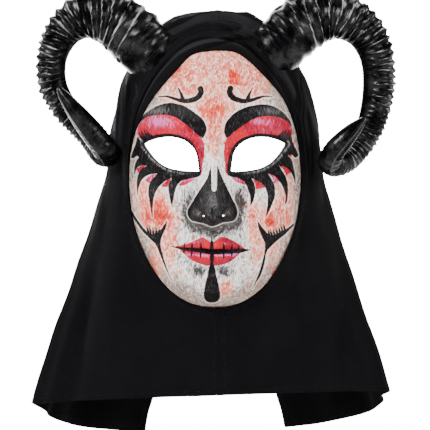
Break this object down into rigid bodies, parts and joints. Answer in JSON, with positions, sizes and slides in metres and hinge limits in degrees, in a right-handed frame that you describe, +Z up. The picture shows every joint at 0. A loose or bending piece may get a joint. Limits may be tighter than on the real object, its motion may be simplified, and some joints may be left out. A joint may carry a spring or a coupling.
{
  "type": "hooded horned face mask",
  "caption": "Rigid full-face mask with painted make-up, two curled ram horns and an open-backed black cloth hood, worn on the head by an elastic strap.",
  "frame": {"origin": "between the wearer's eyes, in the plane of the face shell's back rim", "axes": "+X to the right as the mask is seen from the front, +Y from the mask into the wearer's head, +Z up"},
  "size_m": [0.3471, 0.2067, 0.4324],
  "materials": {
    "painted_shell": "white moulded plastic painted by hand: brushed white and grey with pink, red and black make-up, satin",
    "hood_cloth": "black polyester satin, matt to soft sheen, hanging in soft folds",
    "edge_tape": "black woven binding tape",
    "horn_shell": "black moulded plastic, semi-gloss, with grey dry-brushed ridges",
    "horn_plug": "black moulded plastic, matt",
    "crown_band": "black moulded plastic, satin",
    "fasteners": "zinc-plated steel",
    "strap": "black ribbed elastic webbing",
    "pad_foam": "dark grey foam with a brushed nylon face"
  },
  "bodies": {
    "root": {"face_shell": "painted_shell", "hood_left_panel": "hood_cloth", "hood_right_panel": "hood_cloth", "hood_front_seam": "hood_cloth", "hood_brow_roll": "hood_cloth", "hood_edge_tape": "edge_tape", "left_horn_front_shell": "horn_shell", "left_horn_back_shell": "horn_shell", "left_horn_plug": "horn_plug", "right_horn_front_shell": "horn_shell", "right_horn_back_shell": "horn_shell", "right_horn_plug": "horn_plug", "crown_band": "crown_band", "crown_rivets": "fasteners", "horn_screws": "fasteners", "horn_washers": "fasteners", "head_strap": "strap", "strap_rivets": "fasteners", "strap_washers": "fasteners", "forehead_pad": "pad_foam", "left_cheek_pad": "pad_foam", "right_cheek_pad": "pad_foam"}
  },
  "joints": []
}
